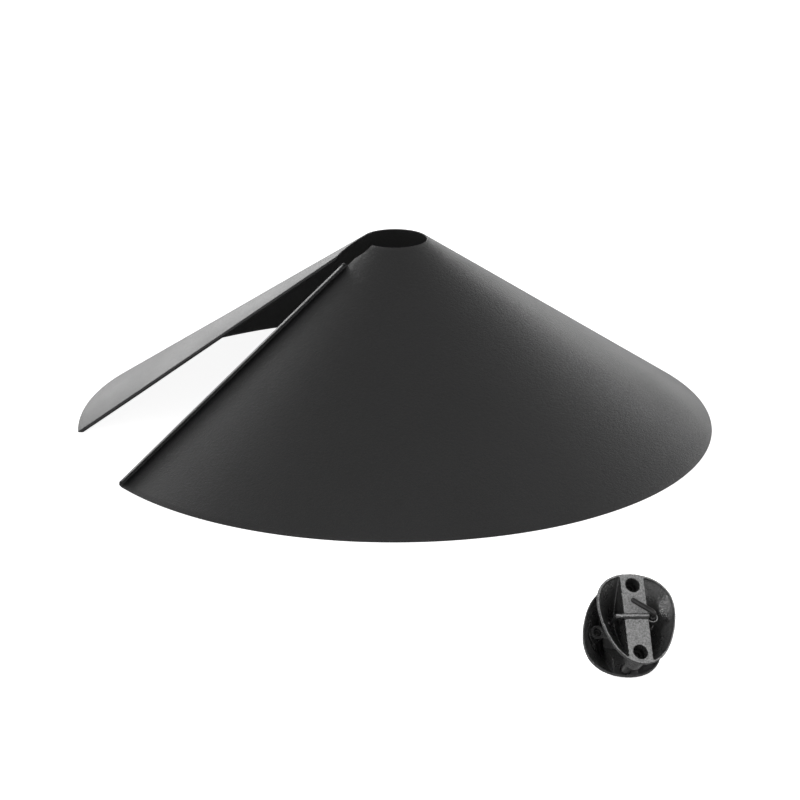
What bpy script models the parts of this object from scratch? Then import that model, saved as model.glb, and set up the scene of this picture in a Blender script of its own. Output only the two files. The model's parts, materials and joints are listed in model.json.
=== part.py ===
"""A wrap-around conical pole baffle and the two-jaw pole bracket that goes with it.

The baffle is one steel sheet, slit from its rim to its centre hole, that springs open and is
wrapped round a pole. The sheet is split here into rigid sectors that hinge on straight lines
through the cone's apex, which is how a flat sheet bends from one cone into a steeper one.

Metres, +Z up. The slit faces -X. The origin is on the ground, under the middle of the set.
"""

from math import cos, pi, radians, sin, tan

import bmesh
import bpy
from mathutils import Matrix, Vector

# Baffle sheet, as it stands sprung open.
SLANT = 0.2973  # apex to rim, along the sheet
HOLE_SLANT = 0.0300  # apex to centre hole, along the sheet
SLOPE = radians(33.5)  # of the open sheet above the ground
SLIT = radians(28.0)  # width of the open slit, seen from above
SHEET = 0.0010
SECTOR_NAMES = (
    "sheet_flange_edge",
    "sheet_right_side",
    "sheet_right_rear",
    "sheet_rear",
    "sheet_left_rear",
    "sheet_left_side",
    "sheet_hem_edge",
)
SECTOR_STEPS = 12  # facets round each sector
JOINT_GAP = 0.0003  # between neighbouring sectors
CONE_CENTRE = (-0.0031, 0.1297)

# The slit's edges: one is turned up and back over the sheet as a hook, the other is folded under.
EDGE_START = 0.054  # where the bent edges begin, from the apex along the sheet
FLANGE_HEIGHT = 0.0046
FLANGE_RETURN = 0.0036
FLANGE_BEVEL = 0.0022
FLANGE_FOOT = 0.9 * SHEET  # reach of the flange down into the sheet
FLANGE_SHARES = (0.30, 0.35, 0.70)  # heights at which its two ends change slope
HEM_WIDTH = 0.0050
HEM_DEPTH = 0.0030
HEM_TOP = 0.6 * SHEET
FLANGE_NOTCH = ((-0.0307, 0.0064), 0.0180)  # relief by the hole: centre from the axis, radius
HEM_NOTCH = ((-0.0279, -0.0086), 0.0250)

# Bracket: two dished egg-shaped castings, stacked with their wide ends opposite, bolted, and
# lying on the back of the rear one.
CUT = 0.0100  # how far a cutter runs past the surface that it opens
JAW_STEPS = 46
JAW_HALF_WIDTH = 0.0252
JAW_HALF_HEIGHT = 0.0308
JAW_EGG = (0.22, 0.16)  # widening towards the wide end, and towards both ends
FRONT_CENTRE = (0.0011, 0.0)  # middle of each egg, from the middle of the bolts
REAR_CENTRE = (0.0, 0.0030)
JAW_LIP = 0.0014
JAW_EDGE = 0.0022  # depth of the upright edge below the lip
JAW_WEB = 0.0026
JAW_FLANK = radians(41.9)  # slope of the dished back
HUB_RADIUS = 0.0045
BAND_WIDTH = 0.0162
STACK = 0.0265  # front jaw above the rear jaw
SEAT_HALF = 0.0155  # half width of the 90 degree pole seat in the rear jaw
SEAT_DEPTH = 0.0120
BOLT_SPACING = 0.0458
BOLT_RADIUS = 0.0030
BOLT_REACH = 0.0045  # of the bolt's end into the rear jaw
BOLT_HEAD_RADIUS = 0.0043
BOLT_HEAD = 0.0035
SOCKET_RADIUS = 0.0023
SOCKET_DEPTH = 0.0022
SINK_RADIUS = 0.0047
SINK_DEPTH = 0.0100
SINK_BOSS_RADIUS = 0.0064
SINK_BOSS_DEPTH = 0.0135
CLEAR = 0.0003
RIB_RADIUS = 0.0017
RIB_ENDS = (-0.0145, 0.0085)
RIB_ALONG = 0.0012
RIB_TURN = radians(4.7)  # towards the screw boss
RIB_HEIGHT = 0.0004
RIB_POST = (0.0030, 0.0130)  # width and depth of the post under its outer end
BOSS_RADIUS = 0.0040
BOSS_TOP = 0.0010  # below the lip
POLE_SCREW_AT = (0.0111, 0.0022)
POLE_SCREW_REACH = 0.0120
HANDLE_RADIUS = 0.0016
HANDLE_END = (-0.0040, 0.0109)
HANDLE_RISE = 0.0042
HANDLE_BEND = 0.0028
HANDLE_TAIL = 0.0020  # of the rod down into the shank
REAR_SCREW_AT = (-0.0140, 0.0039)
SCREW_RADIUS = 0.0025
REAR_SCREW_LENGTH = 0.0050
REAR_SCREW_SINK = 0.0012  # of its end below the boss
REAR_SOCKET_RADIUS = 0.0014
REAR_BOSS_RADIUS = 0.0047
REAR_BOSS_TOP = 0.0045  # below the lip
BRACKET_AT = (-0.0302, -0.3371, 0.02041)  # centre of the rear jaw's lip
BRACKET_HEADING = radians(-85.9)  # way that the bolt heads face, seen from above
BRACKET_LEAN = radians(48.1)  # of the bolts above the ground
BRACKET_ROLL = radians(-15.4)  # about the bolts

SWEEP = 2 * pi - SLIT
SECTOR = SWEEP / len(SECTOR_NAMES)
APEX = Vector((*CONE_CENTRE, SLANT * sin(SLOPE) + SHEET * cos(SLOPE)))
RIM_AT_REAR = Vector((CONE_CENTRE[0] + SLANT * cos(SLOPE), CONE_CENTRE[1], 0.0))

# Colour, roughness, metallic.
POWDER_COAT = ((0.030, 0.031, 0.033), 0.55, 0.0)
BLACK_CASTING = ((0.024, 0.024, 0.025), 0.45, 0.2)
BLACK_FASTENER = ((0.050, 0.050, 0.052), 0.35, 0.8)


def clear_scene():
    for old in list(bpy.data.objects):
        bpy.data.objects.remove(old, do_unlink=True)


def new_collection(name):
    made = bpy.data.collections.new(name)
    bpy.context.scene.collection.children.link(made)
    return made


def new_material(name, look):
    colour, roughness, metallic = look
    made = bpy.data.materials.new(name)
    made.use_nodes = True
    shader = made.node_tree.nodes["Principled BSDF"]
    shader.inputs["Base Color"].default_value = (*colour, 1.0)
    shader.inputs["Roughness"].default_value = roughness
    shader.inputs["Metallic"].default_value = metallic
    return made


def add_empty(name, location):
    made = bpy.data.objects.new(name, None)
    made.location = location
    PARTS.objects.link(made)
    return made


def add_part(name, mesh, look, parent=None, location=(0, 0, 0)):
    made = bpy.data.objects.new(name, mesh)
    made.location = location
    made.parent = parent
    mesh.materials.append(new_material(name, look))
    PARTS.objects.link(made)
    return made


def add_cutter(name, mesh, parent=None, location=(0, 0, 0)):
    made = bpy.data.objects.new(name, mesh)
    made.location = location
    made.parent = parent
    made.hide_render = True
    made.display_type = "WIRE"
    CUTTERS.objects.link(made)
    return made


def combine(target, operation, *others):
    for other in others:
        step = target.modifiers.new(other.name, "BOOLEAN")
        step.operation = operation
        step.solver = "EXACT"
        step.object = other


def turn(target, angle, steps):
    step = target.modifiers.new("turn", "SCREW")
    step.angle = angle
    step.steps = steps
    step.render_steps = steps
    step.use_merge_vertices = True
    step.merge_threshold = 0.00005


def to_mesh(name, work):
    mesh = bpy.data.meshes.new(name)
    bmesh.ops.recalc_face_normals(work, faces=work.faces)
    work.to_mesh(mesh)
    work.free()
    return mesh


def line_mesh(name, points):
    """An open outline in the XZ plane, for turning about Z."""
    mesh = bpy.data.meshes.new(name)
    edges = [(i, i + 1) for i in range(len(points) - 1)]
    mesh.from_pydata([(x, 0.0, z) for x, z in points], edges, [])
    return mesh


def box_mesh(name, low, high):
    work = bmesh.new()
    bmesh.ops.create_cube(work, size=1.0)
    low, high = Vector(low), Vector(high)
    bmesh.ops.scale(work, vec=high - low, verts=work.verts)
    bmesh.ops.translate(work, vec=(high + low) / 2, verts=work.verts)
    return to_mesh(name, work)


def rod_mesh(name, radius, low, high, centre=(0.0, 0.0), sides=32):
    """A cylinder along Z between two heights."""
    work = bmesh.new()
    bmesh.ops.create_cone(
        work, cap_ends=True, segments=sides, radius1=radius, radius2=radius, depth=high - low
    )
    bmesh.ops.translate(work, vec=(*centre, (low + high) / 2), verts=work.verts)
    return to_mesh(name, work)


def prism_mesh(name, outline, push):
    """A flat outline of 3-D points, pushed along a vector."""
    work = bmesh.new()
    face = work.faces.new([work.verts.new(point) for point in outline])
    grown = bmesh.ops.extrude_face_region(work, geom=[face])["geom"]
    moved = [item for item in grown if isinstance(item, bmesh.types.BMVert)]
    bmesh.ops.translate(work, vec=push, verts=moved)
    return to_mesh(name, work)


def on_sheet(slant, azimuth, out=0.0):
    """A point of the open cone seen from its apex, raised out of the sheet by out."""
    radius = slant * cos(SLOPE) + out * sin(SLOPE)
    height = out * cos(SLOPE) - slant * sin(SLOPE)
    return Vector((radius * cos(azimuth), radius * sin(azimuth), height))


def tangent(azimuth):
    return Vector((-sin(azimuth), cos(azimuth), 0.0))


def sector_keeper(name, first, last):
    """The upright wedge of space that one sector may fill, half a gap short on each side."""
    middle, half = (first + last) / 2, (last - first) / 2
    reach = 1.5 * SLANT
    nose = Vector((cos(middle), sin(middle), 0)) * (JOINT_GAP / 2 / sin(half))
    nose.z = -reach
    far = [Vector((cos(a), sin(a), 0)) * reach for a in (first, middle, last)]
    mesh = prism_mesh(name, [nose] + [nose + ray for ray in far], (0, 0, 1.2 * reach))
    return add_cutter(name, mesh, location=APEX)


def sheet_sector(index):
    name = SECTOR_NAMES[index]
    first = index * SECTOR - SWEEP / 2
    overrun = radians(1.0)
    top, rim = on_sheet(HOLE_SLANT, 0), on_sheet(SLANT, 0)
    sector = add_part(name, line_mesh(name, [(top.x, top.z), (rim.x, rim.z)]), POWDER_COAT)
    sector.location = APEX
    sector.rotation_euler.z = first - overrun
    turn(sector, SECTOR + 2 * overrun, SECTOR_STEPS)
    skin = sector.modifiers.new("sheet", "SOLIDIFY")
    skin.thickness = SHEET
    skin.offset = -1.0
    combine(sector, "INTERSECT", sector_keeper(name + "_keeper", first, first + SECTOR))
    return sector


def slit_flange(azimuth):
    """The upturned part of the hooked edge, rounded at its upper end and bevelled at the rim."""
    lower, bevelled, upper = [share * FLANGE_HEIGHT for share in FLANGE_SHARES]
    outline = [
        (EDGE_START + FLANGE_BEVEL / 2, -FLANGE_FOOT),
        (SLANT - CLEAR, -FLANGE_FOOT),
        (SLANT - CLEAR, bevelled),
        (SLANT - FLANGE_BEVEL, FLANGE_HEIGHT),
        (EDGE_START + 2 * FLANGE_BEVEL, FLANGE_HEIGHT),
        (EDGE_START + FLANGE_BEVEL / 2, upper),
        (EDGE_START, lower),
    ]
    inset = tangent(azimuth) * (JOINT_GAP / 2)
    points = [on_sheet(slant, azimuth, out) + inset for slant, out in outline]
    mesh = prism_mesh("slit_flange", points, tangent(azimuth) * SHEET)
    return add_cutter("slit_flange", mesh, location=APEX)


def slit_return(azimuth):
    """The part of the hooked edge that runs back over the sheet."""
    low, high = EDGE_START + 2 * FLANGE_BEVEL, SLANT - FLANGE_BEVEL
    under = FLANGE_HEIGHT - SHEET
    outline = [(low, under), (high, under), (high, FLANGE_HEIGHT), (low, FLANGE_HEIGHT)]
    inset = tangent(azimuth) * (JOINT_GAP / 2)
    points = [on_sheet(slant, azimuth, out) + inset for slant, out in outline]
    mesh = prism_mesh("slit_return", points, tangent(azimuth) * FLANGE_RETURN)
    return add_cutter("slit_return", mesh, location=APEX)


def slit_hem(azimuth):
    """The edge folded under the sheet."""
    outline = [
        (EDGE_START, -HEM_TOP),
        (SLANT - CLEAR, -HEM_TOP),
        (SLANT - 2 * HEM_DEPTH, -HEM_DEPTH),
        (EDGE_START + HEM_DEPTH, -HEM_DEPTH),
    ]
    inset = tangent(azimuth) * (-JOINT_GAP / 2)
    points = [on_sheet(slant, azimuth, out) + inset for slant, out in outline]
    mesh = prism_mesh("slit_hem", points, tangent(azimuth) * -HEM_WIDTH)
    return add_cutter("slit_hem", mesh, location=APEX)


def notch(name, centre, radius):
    """The rounded relief between the centre hole and a bent edge."""
    mesh = rod_mesh(name, radius, -2 * EDGE_START, EDGE_START, centre, sides=48)
    return add_cutter(name, mesh, location=APEX)


def build_baffle():
    sectors = [sheet_sector(index) for index in range(len(SECTOR_NAMES))]
    combine(sectors[0], "UNION", slit_flange(-SWEEP / 2), slit_return(-SWEEP / 2))
    combine(sectors[0], "DIFFERENCE", notch("flange_notch", *FLANGE_NOTCH))
    combine(sectors[-1], "UNION", slit_hem(SWEEP / 2))
    combine(sectors[-1], "DIFFERENCE", notch("hem_notch", *HEM_NOTCH))
    rear = sectors[len(sectors) // 2]
    rear.parent = add_empty("rim_at_rear", RIM_AT_REAR)
    rear.location = APEX - RIM_AT_REAR


def bracket_frame():
    """X across the jaws, Y along the bolt line and Z along the bolts, towards their heads."""
    frame = add_empty("bracket_frame", BRACKET_AT)
    facing = Matrix.Rotation(BRACKET_HEADING, 4, "Z")
    leaning = Matrix.Rotation(pi / 2 - BRACKET_LEAN, 4, "Y")
    upright = Matrix.Rotation(pi / 2 + BRACKET_ROLL, 4, "Z")
    frame.rotation_euler = (facing @ leaning @ upright).to_euler()
    return frame


def back_depth(radius):
    """Depth of a jaw's dished back below its lip, at a distance from its middle."""
    return JAW_EDGE + (JAW_HALF_HEIGHT - radius) * tan(JAW_FLANK)


def egg_point(radius, angle, height, wide_end):
    slant, curve = JAW_EGG
    rise = sin(angle)
    across = radius * JAW_HALF_WIDTH / JAW_HALF_HEIGHT * cos(angle)
    return across * (1 + slant * rise + curve * rise * rise), radius * rise * wide_end, height


def egg_mesh(name, profile, wide_end, centre):
    """A closed profile of radii and heights, swept round an egg whose wide end is at +Y or -Y."""
    work = bmesh.new()
    rings = []
    for radius, height in profile:
        steps = range(JAW_STEPS if radius else 1)
        angles = [2 * pi * step / JAW_STEPS for step in steps]
        rings.append([work.verts.new(egg_point(radius, a, height, wide_end)) for a in angles])
    for low, high in zip(rings, rings[1:]):
        for i in range(JAW_STEPS):
            j = (i + 1) % JAW_STEPS
            sides = [low[i % len(low)], low[j % len(low)], high[j % len(high)], high[i % len(high)]]
            work.faces.new(list(dict.fromkeys(sides)))
    bmesh.ops.translate(work, vec=(*centre, 0.0), verts=work.verts)
    return to_mesh(name, work)


def jaw_solid(name, lip, wide_end, centre):
    """The outer shape of a jaw, with an upright edge and a flat hub at the back."""
    hub_floor = lip - back_depth(HUB_RADIUS)
    hub = [(HUB_RADIUS, hub_floor), (0.0, hub_floor)]
    outline = [(0.0, lip), (JAW_HALF_HEIGHT, lip), (JAW_HALF_HEIGHT, lip - JAW_EDGE), *hub]
    return egg_mesh(name, outline, wide_end, centre)


def add_boss(name, mesh, body, frame, solid):
    """A boss that stands in a jaw's hollow and stops at the jaw's outer shape."""
    boss = add_cutter(name, mesh, frame)
    combine(boss, "INTERSECT", add_cutter(name + "_limit", solid, frame))
    combine(body, "UNION", boss)


def jaw(name, frame, lip, wide_end, centre):
    """A dish with an upright edge and a raised lip, and a solid band across its hollow."""
    body = add_part(name, jaw_solid(name, lip, wide_end, centre), BLACK_CASTING, frame)
    inner = JAW_HALF_HEIGHT - JAW_LIP
    floor = lip - back_depth(0.0) + JAW_WEB
    slope_top = floor + inner * tan(JAW_FLANK)
    hollow_line = [(0.0, lip + CUT), (inner, lip + CUT), (inner, slope_top), (0.0, floor)]
    hollow_mesh = egg_mesh(name + "_hollow", hollow_line, wide_end, centre)
    hollow = add_cutter(name + "_hollow", hollow_mesh, frame)
    half = BAND_WIDTH / 2
    reach = 1.2 * JAW_HALF_HEIGHT
    band = box_mesh(name + "_band", (-half, -reach, lip - reach), (half, reach, lip + reach))
    combine(hollow, "DIFFERENCE", add_cutter(name + "_band", band, frame))
    combine(body, "DIFFERENCE", hollow)
    return body


def bolt_places():
    return (("upper", BOLT_SPACING / 2), ("lower", -BOLT_SPACING / 2))


def build_front_jaw(frame):
    lip = STACK
    body = jaw("front_jaw", frame, lip, 1, FRONT_CENTRE)
    boss = rod_mesh("pole_boss", BOSS_RADIUS, lip - 2 * CUT, lip - BOSS_TOP, POLE_SCREW_AT)
    solid = jaw_solid("pole_boss_limit", lip, 1, FRONT_CENTRE)
    add_boss("pole_boss", boss, body, frame, solid)
    rib = rod_mesh("rib", RIB_RADIUS, *RIB_ENDS, sides=16)
    rib.transform(Matrix.Rotation(pi / 2, 4, "Y"))
    post_end = RIB_ENDS[0] - CLEAR
    post_low = (post_end, -RIB_RADIUS / 2, -RIB_POST[1])
    post = box_mesh("rib_post", post_low, (post_end + RIB_POST[0], RIB_RADIUS / 2, 0))
    place = Matrix.Translation((0, RIB_ALONG, lip + RIB_HEIGHT))
    for mesh in (rib, post):
        mesh.transform(place @ Matrix.Rotation(RIB_TURN, 4, "Z"))
    for name, mesh in (("rib", rib), ("rib_post", post)):
        combine(body, "UNION", add_cutter(name, mesh, frame))
    hole_low = lip - POLE_SCREW_REACH - CLEAR
    thread = rod_mesh("pole_thread", SCREW_RADIUS + CLEAR, hole_low, lip + CUT, POLE_SCREW_AT)
    combine(body, "DIFFERENCE", add_cutter("pole_thread", thread, frame))
    for name, along in bolt_places():
        at = (0.0, along)
        back = rod_mesh("sink_boss", SINK_BOSS_RADIUS, lip - SINK_BOSS_DEPTH, lip - JAW_WEB, at)
        sink = rod_mesh("sink", SINK_RADIUS, lip - SINK_DEPTH, lip + CUT, at)
        hole = rod_mesh("bolt_hole", BOLT_RADIUS + CLEAR, lip - 2 * CUT, lip + CUT, at)
        combine(body, "UNION", add_cutter(name + "_sink_boss", back, frame))
        combine(body, "DIFFERENCE", add_cutter(name + "_sink", sink, frame))
        combine(body, "DIFFERENCE", add_cutter(name + "_front_hole", hole, frame))


def build_rear_jaw(frame):
    body = jaw("rear_jaw", frame, 0.0, -1, REAR_CENTRE)
    root, above = SEAT_HALF - SEAT_DEPTH, JAW_LIP
    mouth = SEAT_HALF + above
    seat_line = [(-mouth, above), (-root, -SEAT_DEPTH), (root, -SEAT_DEPTH), (mouth, above)]
    points = [(-BAND_WIDTH, along, height) for along, height in seat_line]
    seat = prism_mesh("pole_seat", points, (2 * BAND_WIDTH, 0, 0))
    combine(body, "DIFFERENCE", add_cutter("pole_seat", seat, frame))
    boss = rod_mesh("rear_boss", REAR_BOSS_RADIUS, -2 * CUT, -REAR_BOSS_TOP, REAR_SCREW_AT)
    solid = jaw_solid("rear_boss_limit", 0.0, -1, REAR_CENTRE)
    add_boss("rear_boss", boss, body, frame, solid)
    thread_radius = SCREW_RADIUS + CLEAR
    thread = rod_mesh("rear_thread", thread_radius, -3 * CUT, CUT, REAR_SCREW_AT, sides=24)
    combine(body, "DIFFERENCE", add_cutter("rear_thread", thread, frame))
    for name, along in bolt_places():
        radius = BOLT_RADIUS + CLEAR
        hole = rod_mesh("bolt_hole", radius, -2 * CUT, CUT, (0.0, along))
        combine(body, "DIFFERENCE", add_cutter(name + "_rear_hole", hole, frame))


def build_bolts(frame):
    seat = STACK - SINK_DEPTH + CLEAR
    top = seat + BOLT_HEAD
    for name, along in bolt_places():
        label = "clamp_bolt_" + name
        outline = [
            (0.0, top),
            (BOLT_HEAD_RADIUS, top),
            (BOLT_HEAD_RADIUS, seat),
            (BOLT_RADIUS, seat),
            (BOLT_RADIUS, -BOLT_REACH),
            (0.0, -BOLT_REACH),
        ]
        bolt = add_part(label, line_mesh(label, outline), BLACK_FASTENER, frame, (0, along, 0))
        turn(bolt, 2 * pi, 24)
        socket = rod_mesh("socket", SOCKET_RADIUS, top - SOCKET_DEPTH, top + CUT, sides=6)
        combine(bolt, "DIFFERENCE", add_cutter(label + "_socket", socket, frame, (0, along, 0)))


def build_pole_screw(frame):
    """A thumb screw bent from one rod: threaded shank, bend, and a handle across the face."""
    top = STACK + HANDLE_RISE
    path = bpy.data.curves.new("pole_screw", "CURVE")
    path.dimensions = "3D"
    path.bevel_depth = HANDLE_RADIUS
    path.bevel_resolution = 3
    path.use_fill_caps = True
    line = path.splines.new("POLY")
    end = Vector((HANDLE_END[0] - POLE_SCREW_AT[0], HANDLE_END[1] - POLE_SCREW_AT[1], 0.0))
    away = end.normalized()
    turns = [0.0, pi / 8, pi / 4, 3 * pi / 8, pi / 2]
    arc = [away * HANDLE_BEND * (1 - cos(a)) for a in turns]
    drops = [HANDLE_BEND * (sin(a) - 1) for a in turns]
    arc = [point + Vector((0, 0, drop)) for point, drop in zip(arc, drops)]
    points = [Vector((0, 0, -HANDLE_RISE - HANDLE_TAIL))] + arc + [end]
    line.points.add(len(points) - 1)
    for slot, point in zip(line.points, points):
        slot.co = (*point, 1.0)
    guide = bpy.data.objects.new("pole_screw_guide", path)
    CUTTERS.objects.link(guide)
    evaluated = guide.evaluated_get(bpy.context.evaluated_depsgraph_get())
    mesh = bpy.data.meshes.new_from_object(evaluated)
    bpy.data.objects.remove(guide)
    work = bmesh.new()
    work.from_mesh(mesh)
    bmesh.ops.remove_doubles(work, verts=work.verts, dist=0.00001)
    mesh = to_mesh("pole_screw", work)
    screw = add_part("pole_screw", mesh, BLACK_FASTENER, frame, (*POLE_SCREW_AT, top))
    shank_low = STACK - POLE_SCREW_REACH - top
    shank = rod_mesh("pole_shank", SCREW_RADIUS, shank_low, -HANDLE_RISE + CLEAR, sides=24)
    parent_at = (*POLE_SCREW_AT, top)
    combine(screw, "UNION", add_cutter("pole_shank", shank, frame, parent_at))


def build_rear_screw(frame):
    top = -REAR_BOSS_TOP - REAR_SCREW_SINK
    mesh = rod_mesh("rear_set_screw", SCREW_RADIUS, -REAR_SCREW_LENGTH, 0.0, sides=24)
    at = (*REAR_SCREW_AT, top)
    screw = add_part("rear_set_screw", mesh, BLACK_FASTENER, frame, at)
    socket = rod_mesh("rear_socket", REAR_SOCKET_RADIUS, -SOCKET_DEPTH, CUT, sides=6)
    combine(screw, "DIFFERENCE", add_cutter("rear_socket", socket, frame, at))


clear_scene()
PARTS = new_collection("wrap_around_baffle")
CUTTERS = new_collection("cutters")
build_baffle()
bracket = bracket_frame()
build_rear_jaw(bracket)
build_front_jaw(bracket)
build_bolts(bracket)
build_pole_screw(bracket)
build_rear_screw(bracket)
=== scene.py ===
"""Looks for the wrap-around conical baffle and its two-jaw pole bracket.

The sheet is drawn as one smooth cone. It is cut into strips that run from the middle of one CAD
sector to the middle of the next, over the hinge line between them. The bracket's
castings are remeshed from their CAD nodes, and its bolts and screws are drawn again at their joints.
"""

import json
from math import asin, atan2, cos, pi, radians, sin, sqrt

import bmesh
import bpy
from mathutils import Matrix, Vector, noise


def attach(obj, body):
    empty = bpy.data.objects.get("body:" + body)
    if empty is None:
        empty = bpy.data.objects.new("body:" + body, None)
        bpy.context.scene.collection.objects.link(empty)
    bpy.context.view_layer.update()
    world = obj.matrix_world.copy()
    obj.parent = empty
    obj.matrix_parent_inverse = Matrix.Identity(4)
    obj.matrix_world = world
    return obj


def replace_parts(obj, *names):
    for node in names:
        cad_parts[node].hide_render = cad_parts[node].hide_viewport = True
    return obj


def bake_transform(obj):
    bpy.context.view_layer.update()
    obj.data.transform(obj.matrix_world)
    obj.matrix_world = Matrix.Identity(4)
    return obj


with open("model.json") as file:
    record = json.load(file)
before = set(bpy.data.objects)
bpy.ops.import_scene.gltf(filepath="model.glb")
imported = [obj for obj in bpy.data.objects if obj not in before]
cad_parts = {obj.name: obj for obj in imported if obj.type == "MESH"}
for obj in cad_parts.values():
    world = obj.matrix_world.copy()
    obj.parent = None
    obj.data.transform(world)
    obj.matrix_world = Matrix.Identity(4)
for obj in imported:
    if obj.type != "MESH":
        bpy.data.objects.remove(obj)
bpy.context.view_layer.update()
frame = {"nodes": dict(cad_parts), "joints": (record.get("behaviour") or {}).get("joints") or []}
JOINTS = {joint["name"]: joint for joint in frame["joints"]}

# Sheet, in metres. Slants run from the cone's apex along the sheet.
SHEET = 0.0010
APEX = Vector(JOINTS["cone_close"]["pos_m"])
FIRST_AXIS = Vector(JOINTS["cone_close"]["axis"])
SLOPE = asin(FIRST_AXIS.z)
SLANT = (APEX.z - SHEET * cos(SLOPE)) / sin(SLOPE)
SECTOR = 2 * atan2(-FIRST_AXIS.y, -FIRST_AXIS.x)
SHEET_BODIES = (
    "sheet_flange_edge",
    "sheet_right_side",
    "sheet_right_rear",
    "sheet_rear",
    "sheet_left_rear",
    "sheet_left_side",
    "sheet_hem_edge",
)
SLIT_EDGE = SECTOR * len(SHEET_BODIES) / 2
HOLE_SLANT = 0.0300
RING_SLANT = 0.0740  # where the inner strips by the hole give way to the outer ones
EDGE_START = 0.0540
EDGE_INSET = 0.00015
FLANGE_HEIGHT = 0.0038
FLANGE_RETURN = 0.0039
RETURN_RISE = radians(12.0)
FLANGE_BEND = 0.0013
RETURN_BEND = 0.0009
RETURN_TAPER = 0.0030
FLANGE_ROUND = 0.0040
FLANGE_BEVEL = 0.0022
BEVEL_FOOT = 0.0016
HEM_WIDTH = 0.0050
HEM_BEND = 0.0010
FLANGE_NOTCH = ((-0.0307, 0.0064), 0.0180)  # centre from the apex in plan, and radius
HEM_NOTCH = ((-0.0279, -0.0086), 0.0250)
HEM_TAPER = 1.6
SHEET_CORNER = 0.0003
SHEET_COLUMNS = 28
WAVINESS = 0.00025

# Bracket. X runs across the jaws, Y along the line of the bolts, Z along the bolts.
BOLT_SEAT = 0.0168
BOLT_TOP = 0.0203
BOLT_END = -0.0045
CAST_VOXEL = 0.00045
CAST_GRAIN, CAST_UNEVEN = 0.00005, 0.00010  # height of the casting's fine and broad roughness
PAINTED_HIGHLIGHT_FACING = 0.9  # faces at least this square to the jaw's front get the painted highlight, a lighter copy of the casting's colour
BOLT_HEAD, BOLT_SHANK = 0.0042, 0.0029
BOLT_PITCH = 0.0010
BOLT_SIDES = 48
REAR_SCREW_RADIUS, REAR_SCREW_LENGTH, REAR_SCREW_PITCH = 0.0024, 0.0050, 0.0008
HANDLE_REACH = Vector((-0.0151, 0.0087, 0.0))
ROD_RADIUS, POLE_SHANK, POLE_SCREW_BEND = 0.0016, 0.0024, 0.0028
POLE_SCREW_DEPTH = 0.0162
POLE_SHANK_TOP = -0.0048
POLE_PITCH = 0.0010
ROD_SIDES = 32

# Studio.
CENTRE = (0.0, 0.0, 0.05)
FLOOR_HALF = 12.0
LENS_MM, SENSOR_MM = 122.76, 36.0
CAMERA_FROM_APEX = Vector((-0.72323, -1.87430))
CAMERA_HEIGHT = 0.7512
CAMERA_AHEAD = Vector((0.33977, 0.87548, -0.34366))


def bracket_matrix(upper, lower):
    out = Vector(JOINTS["jaw_slide"]["axis"]).normalized()
    along = (upper - lower).normalized()
    origin = (upper + lower) / 2 - out * BOLT_SEAT
    turned = Matrix((along.cross(out), along, out)).transposed().to_4x4()
    return Matrix.Translation(origin) @ turned


UPPER_BOLT = Vector(JOINTS["upper_bolt_turn"]["pos_m"])
LOWER_BOLT = Vector(JOINTS["lower_bolt_turn"]["pos_m"])
BRACKET = bracket_matrix(UPPER_BOLT, LOWER_BOLT)
BOLT_ALONG = (UPPER_BOLT - LOWER_BOLT).length / 2


def new_object(name, points, faces, look, slot, smooth_below=35.0):
    mesh = bpy.data.meshes.new(name)
    mesh.from_pydata([tuple(point) for point in points], [], faces)
    mesh.validate()
    work = bmesh.new()
    work.from_mesh(mesh)
    bmesh.ops.recalc_face_normals(work, faces=work.faces)
    work.to_mesh(mesh)
    work.free()
    return finish_object(name, mesh, look, slot, smooth_below)


def finish_object(name, mesh, look, slot, smooth_below=35.0):
    mesh.shade_smooth()
    mesh.set_sharp_from_angle(angle=radians(smooth_below))
    mesh.materials.clear()
    mesh.materials.append(look)
    made = bpy.data.objects.new(name, mesh)
    bpy.context.scene.collection.objects.link(made)
    return made


def loft(loops):
    """Points and faces of a solid whose closed cross-sections are the loops, bridged in pairs."""
    size = len(loops[0])
    points = [point for loop in loops for point in loop]
    faces = []
    for row in range(len(loops) - 1):
        for i in range(size):
            j = (i + 1) % size
            a, b = row * size, (row + 1) * size
            faces.append((a + i, a + j, b + j, b + i))
    for base in (0, (len(loops) - 1) * size):
        ring = list(range(base, base + size))
        low, high = 0, size - 1
        while high - low >= 2:
            corners = [ring[low], ring[low + 1], ring[high - 1], ring[high]]
            faces.append(tuple(dict.fromkeys(corners)))
            low, high = low + 1, high - 1
    return points, faces


# ---------------------------------------------------------------- sheet


def on_sheet(slant, azimuth, out):
    """A point of the cone; out is its height above the sheet's upper face."""
    radius = slant * cos(SLOPE) + out * sin(SLOPE)
    height = out * cos(SLOPE) - slant * sin(SLOPE)
    return APEX + Vector((radius * cos(azimuth), radius * sin(azimuth), height))


def notch_slant(azimuth, notch):
    """Where the sheet starts at an azimuth, at the centre hole or at the relief beside it."""
    (x, y), radius = notch
    along = x * cos(azimuth) + y * sin(azimuth)
    inside = along * along - (x * x + y * y - radius * radius)
    if along <= 0 or inside <= 0:
        return HOLE_SLANT
    return max(HOLE_SLANT, (along + sqrt(inside)) / cos(SLOPE))


def wave(point):
    """Slight unevenness of the rolled sheet, the same for every strip at a given place."""
    away = noise.noise(point * 7.0) + 0.5 * noise.noise(point * 16.0)
    return WAVINESS * away


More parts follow.
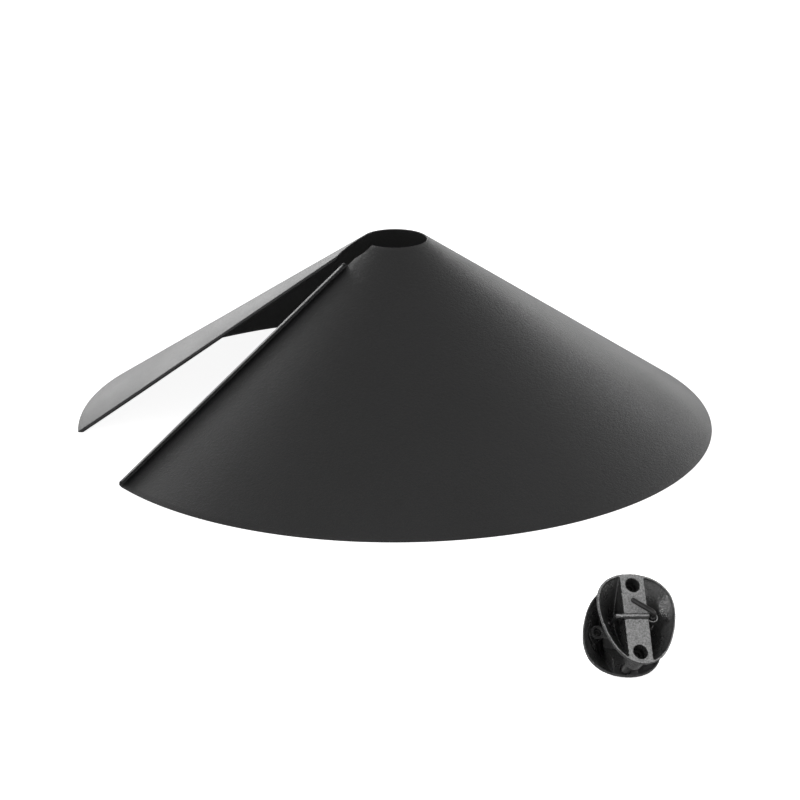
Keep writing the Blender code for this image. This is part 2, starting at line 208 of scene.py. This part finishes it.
def section_loop(place, start, end, rows, rounded, half=SHEET / 2):
    """One closed loop through the sheet: out along its upper face and back along its lower one.

    place(slant, offset) gives a point; rounded says whether the start and the end are free edges.
    """
    corner = min(SHEET_CORNER, 0.6 * half)
    begin = start + (corner if rounded[0] else 0.0)
    stop = end - (corner if rounded[1] else 0.0)
    steps = [begin + (stop - begin) * i / rows for i in range(rows + 1)]
    ease = corner * (1 - sin(pi / 4))
    inner = half - corner
    far = [(end - ease, half - ease), (end, inner), (end, -inner), (end - ease, ease - half)]
    near = [(start + ease, ease - half), (start, -inner), (start, inner), (start + ease, half - ease)]
    line = [(slant, half) for slant in steps]
    line += far if rounded[1] else []
    line += [(slant, -half) for slant in reversed(steps)]
    line += near if rounded[0] else []
    return [place(slant, offset) for slant, offset in line]


def cone_place(azimuth_at):
    def place(slant, offset):
        azimuth = azimuth_at(slant)
        point = on_sheet(slant, azimuth, offset - SHEET / 2)
        return point + (on_sheet(slant, azimuth, 1) - on_sheet(slant, azimuth, 0)) * wave(point)

    return place


def edge_place(side, inward, height, lean):
    """A place beside a slit edge: inward from it, height above the sheet, leaning that way."""

    def place(slant, offset):
        t = inward + offset * lean[0]
        out = height + offset * lean[1]
        azimuth = side * (SLIT_EDGE - (t + EDGE_INSET) / (slant * cos(SLOPE)))
        point = on_sheet(slant, azimuth, out)
        return point + (on_sheet(slant, azimuth, 1) - on_sheet(slant, azimuth, 0)) * wave(point)

    return place


def plain_strip(name, first, last, start, end, rows, look, rounded):
    loops = []
    for step in range(2 * SHEET_COLUMNS + 1):
        azimuth = first + (last - first) * step / (2 * SHEET_COLUMNS)
        place = cone_place(lambda slant, azimuth=azimuth: azimuth)
        loops.append(section_loop(place, start, end, rows, rounded))
    return new_object(name, *loft(loops), look, "powder_coated_sheet")


def main_columns(side, notch, bend_at, rows):
    """Loops from the middle of an edge sector to the line where its edge starts to bend."""
    middle = side * (SLIT_EDGE - SECTOR / 2)
    loops = []
    columns = 2 * SHEET_COLUMNS
    for step in range(columns + 1):
        share = step / columns

        def azimuth_at(slant, share=share):
            bend = side * (SLIT_EDGE - (bend_at + EDGE_INSET) / (slant * cos(SLOPE)))
            return middle + (bend - middle) * share

        start = notch_slant(azimuth_at(EDGE_START), notch)
        loops.append(section_loop(cone_place(azimuth_at), start, SLANT, rows, (True, True)))
    return loops


def flange_start(height):
    share = min(1.0, max(0.0, height / FLANGE_HEIGHT))
    return EDGE_START + FLANGE_ROUND * (1 - sqrt(1 - share * share))


def flange_end(height):
    share = max(0.0, (height - BEVEL_FOOT) / (FLANGE_HEIGHT - BEVEL_FOOT))
    return SLANT - FLANGE_BEVEL * share


def flange_strip(look, rows=64):
    side = -1
    leg = SHEET / 2
    centre = (leg + FLANGE_BEND, FLANGE_BEND - SHEET / 2)
    loops = main_columns(side, FLANGE_NOTCH, centre[0], rows)
    for step in range(1, 8):
        angle = pi / 2 * step / 7
        inward = centre[0] - FLANGE_BEND * sin(angle)
        height = centre[1] - FLANGE_BEND * cos(angle)
        place = edge_place(side, inward, height, (sin(angle), cos(angle)))
        start, end = flange_start(max(0.0, height)), flange_end(height)
        loops.append(section_loop(place, start, end, rows, (True, True)))
    top = FLANGE_HEIGHT - SHEET / 2
    corner = top - RETURN_BEND
    for step in range(1, 7):
        height = centre[1] + (corner - centre[1]) * step / 6
        place = edge_place(side, leg, height, (1, 0))
        start, end = flange_start(height), flange_end(height)
        loops.append(section_loop(place, start, end, rows, (True, True)))
    turned = pi / 2 - RETURN_RISE
    for step in range(1, 9):
        angle = turned * step / 8
        inward = leg + RETURN_BEND * (1 - cos(angle))
        height = corner + RETURN_BEND * sin(angle)
        place = edge_place(side, inward, height, (cos(angle), -sin(angle)))
        start, end = flange_start(height), flange_end(height)
        loops.append(section_loop(place, start, end, rows, (True, True)))
    length = (FLANGE_RETURN - inward - SHEET_CORNER) / sin(turned)
    shares = [(step / 6, SHEET / 2) for step in range(1, 7)]
    tip = SHEET_CORNER / length
    shares += [(1 + 0.6 * tip, 0.44 * SHEET), (1 + tip, 0.25 * SHEET)]
    for share, half in shares:
        at = inward + length * share * sin(turned), height + length * share * cos(turned)
        place = edge_place(side, *at, (cos(turned), -sin(turned)))
        start = flange_start(top) + RETURN_TAPER * share
        end = flange_end(top) - 0.3 * RETURN_TAPER * share
        loops.append(section_loop(place, start, end, rows, (True, True), half))
    return new_object("sheet_flange_strip", *loft(loops), look, "powder_coated_sheet")


def hem_end(height):
    return SLANT + HEM_TAPER * min(0.0, height + SHEET / 2)


def hem_strip(look, rows=64):
    side = 1
    centre = (HEM_BEND + SHEET / 2, -SHEET / 2 - HEM_BEND)
    loops = main_columns(side, HEM_NOTCH, centre[0], rows)
    for step in range(1, 13):
        angle = pi * step / 12
        inward = centre[0] - HEM_BEND * sin(angle)
        height = centre[1] + HEM_BEND * cos(angle)
        place = edge_place(side, inward, height, (-sin(angle), cos(angle)))
        loops.append(section_loop(place, EDGE_START, hem_end(height), rows, (True, True)))
    low = centre[1] - HEM_BEND
    stop = HEM_WIDTH - SHEET_CORNER
    for step in range(1, 6):
        inward = centre[0] + (stop - centre[0]) * step / 5
        place = edge_place(side, inward, low, (0, -1))
        loops.append(section_loop(place, EDGE_START, hem_end(low), rows, (True, True)))
    for reach, half in ((0.6, 0.44), (1.0, 0.25)):
        place = edge_place(side, stop + SHEET_CORNER * reach, low, (0, -1))
        loop = section_loop(place, EDGE_START, hem_end(low), rows, (True, True), half * SHEET)
        loops.append(loop)
    return new_object("sheet_hem_strip", *loft(loops), look, "powder_coated_sheet")


def build_sheet(look):
    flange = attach(flange_strip(look), SHEET_BODIES[0])
    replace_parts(flange, SHEET_BODIES[0])
    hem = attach(hem_strip(look), SHEET_BODIES[-1])
    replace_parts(hem, SHEET_BODIES[-1])
    rings = (
        ("inner", HOLE_SLANT, RING_SLANT, 12, (True, False)),
        ("outer", RING_SLANT, SLANT, 40, (False, True)),
    )
    for index in range(len(SHEET_BODIES) - 1):
        hinge = (index + 1) * SECTOR - SLIT_EDGE
        first, last = hinge - SECTOR / 2, hinge + SECTOR / 2
        for ring, start, end, rows, rounded in rings:
            name = f"sheet_{ring}_strip_{index + 1}"
            strip = plain_strip(name, first, last, start, end, rows, look, rounded)
            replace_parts(strip, SHEET_BODIES[index], SHEET_BODIES[index + 1])
            line = on_sheet(start, hinge, 0)
            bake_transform(strip)


# ---------------------------------------------------------------- bracket castings


def evaluated_mesh(name, source):
    graph = bpy.context.evaluated_depsgraph_get()
    mesh = bpy.data.meshes.new_from_object(source.evaluated_get(graph))
    mesh.name = name
    return mesh


def casting(name, node, look, painted_highlight_look):
    """A CAD jaw with its edges rounded as a mould leaves them, and a rough cast skin. Faces square to
    the jaw's front get the second look, a lighter copy of the casting: painted highlight.
    """
    work = bpy.data.objects.new(name + "_work", frame["nodes"][node].data.copy())
    bpy.context.scene.collection.objects.link(work)
    remesh = work.modifiers.new("skin", "REMESH")
    remesh.mode = "VOXEL"
    remesh.voxel_size = CAST_VOXEL
    ease = work.modifiers.new("ease", "SMOOTH")
    ease.factor = 0.5
    ease.iterations = 5
    mesh = evaluated_mesh(name, work)
    bpy.data.objects.remove(work)
    normals = [vertex.normal.copy() for vertex in mesh.vertices]
    for vertex, normal in zip(mesh.vertices, normals):
        spot = vertex.co
        rough = noise.noise(spot * 700.0) + 0.6 * noise.noise(spot * 1500.0)
        broad = noise.noise(spot * 160.0)
        vertex.co = spot + normal * (CAST_GRAIN * rough + CAST_UNEVEN * broad)
    out = BRACKET.to_3x3().col[2]
    made = finish_object(name, mesh, look, "black_casting", 180.0)
    mesh.materials.append(painted_highlight_look)
    # Faces square to the jaw's front get the second look, a lighter copy of the casting: painted
    # highlight.
    for face in mesh.polygons:
        face.material_index = int(face.normal.dot(out) > PAINTED_HIGHLIGHT_FACING)
    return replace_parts(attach(made, node), node)


def turned_loops(profile, sides, thread=None):
    """Loops round Z for a profile of (radius, height) pairs; thread may push the radius in."""
    loops = []
    for radius, height in profile:
        loop = []
        for i in range(sides):
            angle = 2 * pi * i / sides
            r = radius - (thread(height, angle) if thread else 0.0)
            loop.append(Vector((r * cos(angle), r * sin(angle), height)))
        loops.append(loop)
    return loops


def thread_cut(low, high, pitch, depth):
    def cut(height, angle):
        if not low <= height <= high:
            return 0.0
        turn = (height / pitch - angle / (2 * pi)) % 1.0
        edge = min(1.0, (height - low) / pitch, (high - height) / pitch)
        return depth * abs(2 * turn - 1) * max(0.0, edge)

    return cut


def heights(low, high, step):
    count = max(1, round((high - low) / step))
    return [low + (high - low) * i / count for i in range(count + 1)]


def hexagon_radius(flat, angle):
    sixth = pi / 3
    return flat / cos((angle % sixth) - sixth / 2)


def socket_screw(name, profile, thread, socket, matrix, look):
    """A turned screw whose head has a hexagon socket: outside up, over the rim, and down inside."""
    loops = turned_loops(profile, BOLT_SIDES, thread)
    flat, depth, lead = socket
    top = profile[-1][1]
    for grow, height in ((lead, top), (0.0, top - lead), (0.0, top - depth)):
        loop = []
        for i in range(BOLT_SIDES):
            angle = 2 * pi * i / BOLT_SIDES
            r = hexagon_radius(flat, angle) + grow
            loop.append(Vector((r * cos(angle), r * sin(angle), height)))
        loops.append(loop)
    bottom = top - depth
    loops.append([Vector((p.x * 0.4, p.y * 0.4, bottom - 0.4 * flat)) for p in loops[-1]])
    points, faces = loft(loops)
    return new_object(name, [matrix @ p for p in points], faces, look, "black_fastener")


def build_bolts(look):
    shank = heights(BOLT_END + 0.0007, BOLT_SEAT - 0.0004, BOLT_PITCH / 8)
    profile = [(0.0018, BOLT_END), (0.0022, BOLT_END + 0.0001)]
    profile += [(BOLT_SHANK, z) for z in shank]
    profile += [(BOLT_SHANK + 0.0002, BOLT_SEAT), (BOLT_HEAD - 0.0004, BOLT_SEAT)]
    profile += [(BOLT_HEAD, BOLT_SEAT + 0.0004), (BOLT_HEAD, BOLT_TOP - 0.0006)]
    profile += [(BOLT_HEAD - 0.0002, BOLT_TOP - 0.0002), (BOLT_HEAD - 0.0007, BOLT_TOP)]
    thread = thread_cut(BOLT_END, BOLT_SEAT - 0.001, BOLT_PITCH, 0.0004)
    socket = (0.0020, 0.0022, 0.0002)
    for side, label in ((1, "upper"), (-1, "lower")):
        place = BRACKET @ Matrix.Translation((0, side * BOLT_ALONG, 0))
        name = f"clamp_bolt_{label}_finished"
        bolt = socket_screw(name, profile, thread, socket, place, look)
        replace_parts(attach(bolt, f"{label}_bolt"), f"clamp_bolt_{label}")


def build_rear_screw(look):
    place = BRACKET.copy()
    place.translation = Vector(JOINTS["rear_screw_turn"]["pos_m"])
    end = -REAR_SCREW_LENGTH
    profile = [(0.0012, end), (0.0016, end + 0.0002)]
    profile += [(REAR_SCREW_RADIUS, z) for z in heights(end + 0.0009, -0.0004, REAR_SCREW_PITCH / 8)]
    profile += [(REAR_SCREW_RADIUS - 0.0003, 0.0)]
    thread = thread_cut(end, -0.0003, REAR_SCREW_PITCH, 0.0003)
    socket = (0.0012, 0.0020, 0.0002)
    screw = socket_screw("rear_set_screw_finished", profile, thread, socket, place, look)
    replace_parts(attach(screw, "rear_screw"), "rear_set_screw")


def build_pole_screw(look):
    """A screw bent from one rod: a threaded shank, a tight bend and a handle with a round end."""
    place = BRACKET.copy()
    place.translation = Vector(JOINTS["pole_screw_turn"]["pos_m"])
    up_rod = Vector((0, 0, 1))
    length, away = HANDLE_REACH.length, HANDLE_REACH.normalized()
    rod, bend, end = ROD_RADIUS, POLE_SCREW_BEND, -POLE_SCREW_DEPTH
    spine = []
    for z in heights(end, POLE_SHANK_TOP, POLE_PITCH / 8):
        inset = min(1.0, (z - end) / 0.0006 + 0.6)
        spine.append((up_rod * z, up_rod, POLE_SHANK * inset))
    spine.append((up_rod * (POLE_SHANK_TOP + 0.0004), up_rod, POLE_SHANK - 0.0002))
    spine.append((up_rod * (POLE_SHANK_TOP + 0.0008), up_rod, rod))
    for step in range(9):
        angle = pi / 2 * step / 8
        at = away * bend * (1 - cos(angle)) + up_rod * bend * (sin(angle) - 1)
        spine.append((at, away * sin(angle) + up_rod * cos(angle), rod))
    for reach in heights(bend + 0.001, length - rod, 0.001):
        spine.append((away * reach, away, rod))
    for step in range(1, 6):
        angle = pi / 2 * step / 5.3
        spine.append((away * (length - rod + rod * sin(angle)), away, rod * cos(angle)))
    side = away.cross(up_rod)
    thread = thread_cut(end + 0.0004, POLE_SHANK_TOP - 0.0002, POLE_PITCH, 0.0004)
    loops = []
    for at, ahead, radius in spine:
        up = side.cross(ahead)
        loop = []
        for i in range(ROD_SIDES):
            angle = 2 * pi * i / ROD_SIDES
            r = radius - (thread(at.z, angle) if at.z < POLE_SHANK_TOP else 0.0)
            loop.append(place @ (at + side * r * cos(angle) + up * r * sin(angle)))
        loops.append(loop)
    screw = new_object("pole_screw_finished", *loft(loops), look, "black_fastener")
    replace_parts(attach(screw, "pole_screw"), "pole_screw")


# ---------------------------------------------------------------- materials


class Look:
    """A principled material with the few nodes its surface is drawn with."""

    def __init__(self, name):
        self.material = bpy.data.materials.new(name)
        self.material.use_nodes = True
        self.tree = self.material.node_tree
        self.shader = self.tree.nodes["Principled BSDF"]
        self.where = self.tree.nodes.new("ShaderNodeTexCoord").outputs["Object"]

    def add(self, kind, values, wires):
        node = self.tree.nodes.new(kind)
        for socket, value in values.items():
            node.inputs[socket].default_value = value
        for socket, source in wires.items():
            self.tree.links.new(source, node.inputs[socket])
        return node

    def cloud(self, scale, detail=2.0, rough=0.5):
        values = {"Scale": scale, "Detail": detail, "Roughness": rough}
        return self.add("ShaderNodeTexNoise", values, {"Vector": self.where}).outputs["Fac"]

    def ramp(self, value, stops):
        node = self.add("ShaderNodeValToRGB", {}, {"Fac": value})
        for element, (at, colour) in zip(node.color_ramp.elements, stops):
            element.position = at
            element.color = (*colour, 1.0)
        return node.outputs["Color"]

    def spread(self, value, low, high):
        values = {"From Min": 0.3, "From Max": 0.7, "To Min": low, "To Max": high}
        return self.add("ShaderNodeMapRange", values, {"Value": value}).outputs["Result"]

    def bump(self, value, strength, distance, under=None):
        wires = {"Height": value, "Normal": under} if under else {"Height": value}
        values = {"Strength": strength, "Distance": distance}
        return self.add("ShaderNodeBump", values, wires).outputs["Normal"]

    def surface(self, colour, roughness, normal, metallic=0.0, specular=0.5):
        inputs = self.shader.inputs
        self.tree.links.new(colour, inputs["Base Color"])
        self.tree.links.new(roughness, inputs["Roughness"])
        self.tree.links.new(normal, inputs["Normal"])
        inputs["Metallic"].default_value = metallic
        inputs["Specular IOR Level"].default_value = specular
        return self.material


def powder_coat():
    look = Look("powder_coat")
    grain = look.cloud(1100.0, 3.0, 0.6)
    broad = look.cloud(9.0, 3.0)
    fine = look.ramp(grain, [(0.30, (0.002, 0.002, 0.002)), (0.72, (0.020, 0.020, 0.021))])
    dust = look.ramp(broad, [(0.35, (0.008, 0.008, 0.008)), (0.70, (0.012, 0.012, 0.0125))])
    half = look.tree.nodes.new("ShaderNodeMix")
    half.data_type = "RGBA"
    half.inputs["Factor"].default_value = 0.5
    look.tree.links.new(fine, half.inputs["A"])
    look.tree.links.new(dust, half.inputs["B"])
    skin = look.bump(look.cloud(420.0), 0.35, 0.0006)
    normal = look.bump(grain, 0.60, 0.0005, skin)
    return look.surface(half.outputs["Result"], look.spread(broad, 0.40, 0.50), normal)


def black_casting(name, dark, light):
    look = Look(name)
    grain = look.cloud(900.0, 4.0, 0.65)
    blotch = look.cloud(120.0, 3.0)
    paint = look.ramp(grain, [(0.30, (dark, dark, dark)), (0.70, (light, light, light))])
    skin = look.bump(look.cloud(300.0), 0.30, 0.0008)
    normal = look.bump(grain, 0.50, 0.0006, skin)
    return look.surface(paint, look.spread(blotch, 0.20, 0.40), normal, specular=0.6)


def black_oxide():
    look = Look("black_oxide")
    grain = look.cloud(1600.0, 3.0)
    blotch = look.cloud(240.0)
    oxide = look.ramp(blotch, [(0.30, (0.020, 0.020, 0.021)), (0.75, (0.045, 0.044, 0.043))])
    normal = look.bump(grain, 0.20, 0.0002)
    return look.surface(oxide, look.spread(blotch, 0.28, 0.42), normal, metallic=0.7)


# ---------------------------------------------------------------- studio


def build_floor():
    mesh = bpy.data.meshes.new("floor")
    work = bmesh.new()
    bmesh.ops.create_grid(work, x_segments=1, y_segments=1, size=FLOOR_HALF)
    work.to_mesh(mesh)
    work.free()
    floor = bpy.data.objects.new("floor", mesh)
    bpy.context.scene.collection.objects.link(floor)
    paper = bpy.data.materials.new("paper")
    paper.use_nodes = True
    tree = paper.node_tree
    lit = tree.nodes["Principled BSDF"]
    white = tree.nodes.new("ShaderNodeBsdfPrincipled")
    for shader, glow in ((lit, 0.04), (white, 0.92)):
        shader.inputs["Base Color"].default_value = (0.65, 0.65, 0.65, 1.0)
        shader.inputs["Roughness"].default_value = 0.9
        shader.inputs["Specular IOR Level"].default_value = 0.0
        shader.inputs["Emission Color"].default_value = (1.0, 1.0, 1.0, 1.0)
        shader.inputs["Emission Strength"].default_value = glow
    seen = tree.nodes.new("ShaderNodeMixShader")
    ray = tree.nodes.new("ShaderNodeLightPath")
    tree.links.new(ray.outputs["Is Camera Ray"], seen.inputs[0])
    tree.links.new(lit.outputs["BSDF"], seen.inputs[1])
    tree.links.new(white.outputs["BSDF"], seen.inputs[2])
    tree.links.new(seen.outputs["Shader"], tree.nodes["Material Output"].inputs["Surface"])
    mesh.materials.append(paper)


def build_world():
    """A white studio, brightest at the horizon."""
    world = bpy.data.worlds.new("studio")
    bpy.context.scene.world = world
    world.use_nodes = True
    tree = world.node_tree
    sky = tree.nodes["Background"]
    where = tree.nodes.new("ShaderNodeTexCoord")
    split = tree.nodes.new("ShaderNodeSeparateXYZ")
    band = tree.nodes.new("ShaderNodeValToRGB")
    stops = ((0.0, 1.0), (0.07, 0.85), (0.25, 0.34), (0.45, 0.16), (1.0, 0.13))
    while len(band.color_ramp.elements) < len(stops):
        band.color_ramp.elements.new(0.5)
    for element, (at, grey) in zip(band.color_ramp.elements, stops):
        element.position = at
        element.color = (grey, grey, grey, 1.0)
    tree.links.new(where.outputs["Generated"], split.inputs["Vector"])
    tree.links.new(split.outputs["Z"], band.inputs["Fac"])
    tree.links.new(band.outputs["Color"], sky.inputs["Color"])
    sky.inputs["Strength"].default_value = 3.6


def hang(lamp, place, aim):
    made = bpy.data.objects.new(lamp.name, lamp)
    made.location = place
    made.rotation_euler = (Vector(aim) - Vector(place)).to_track_quat("-Z", "Y").to_euler()
    bpy.context.scene.collection.objects.link(made)


def build_lights():
    """A wide soft lamp behind the cone, and a narrow one from the left on the bracket."""
    wide = bpy.data.lights.new("back", "AREA")
    wide.shape = "RECTANGLE"
    wide.size, wide.size_y = 1.5, 0.8
    wide.energy = 16.0
    hang(wide, (-0.25, 2.3, 0.85), CENTRE)
    narrow = bpy.data.lights.new("bracket_spot", "SPOT")
    narrow.energy = 260.0
    narrow.spot_size = radians(9.0)
    narrow.spot_blend = 0.7
    narrow.shadow_soft_size = 0.25
    hang(narrow, (-1.58, -0.62, 1.25), BRACKET.translation)


def build_camera():
    bpy.context.scene.view_settings.view_transform = "Standard"
    lens = bpy.data.cameras.new("camera")
    lens.lens = LENS_MM
    lens.sensor_width = SENSOR_MM
    camera = bpy.data.objects.new("camera", lens)
    camera.location = (*(APEX.xy + CAMERA_FROM_APEX), CAMERA_HEIGHT)
    camera.rotation_euler = CAMERA_AHEAD.to_track_quat("-Z", "Y").to_euler()
    bpy.context.scene.collection.objects.link(camera)
    bpy.context.scene.camera = camera


COAT = powder_coat()
CAST = black_casting("black_casting", 0.008, 0.030)
# A lighter copy of the black casting for the jaw's front face: a painted highlight where the face
# catches the light.
CAST_PAINTED_HIGHLIGHT = black_casting("black_casting_painted_highlight", 0.080, 0.340)
OXIDE = black_oxide()
build_sheet(COAT)
casting("front_jaw_casting", "front_jaw", CAST, CAST_PAINTED_HIGHLIGHT)
casting("rear_jaw_casting", "rear_jaw", CAST, CAST)
build_bolts(OXIDE)
build_pole_screw(OXIDE)
build_rear_screw(OXIDE)
build_floor()
build_world()
build_lights()
build_camera()
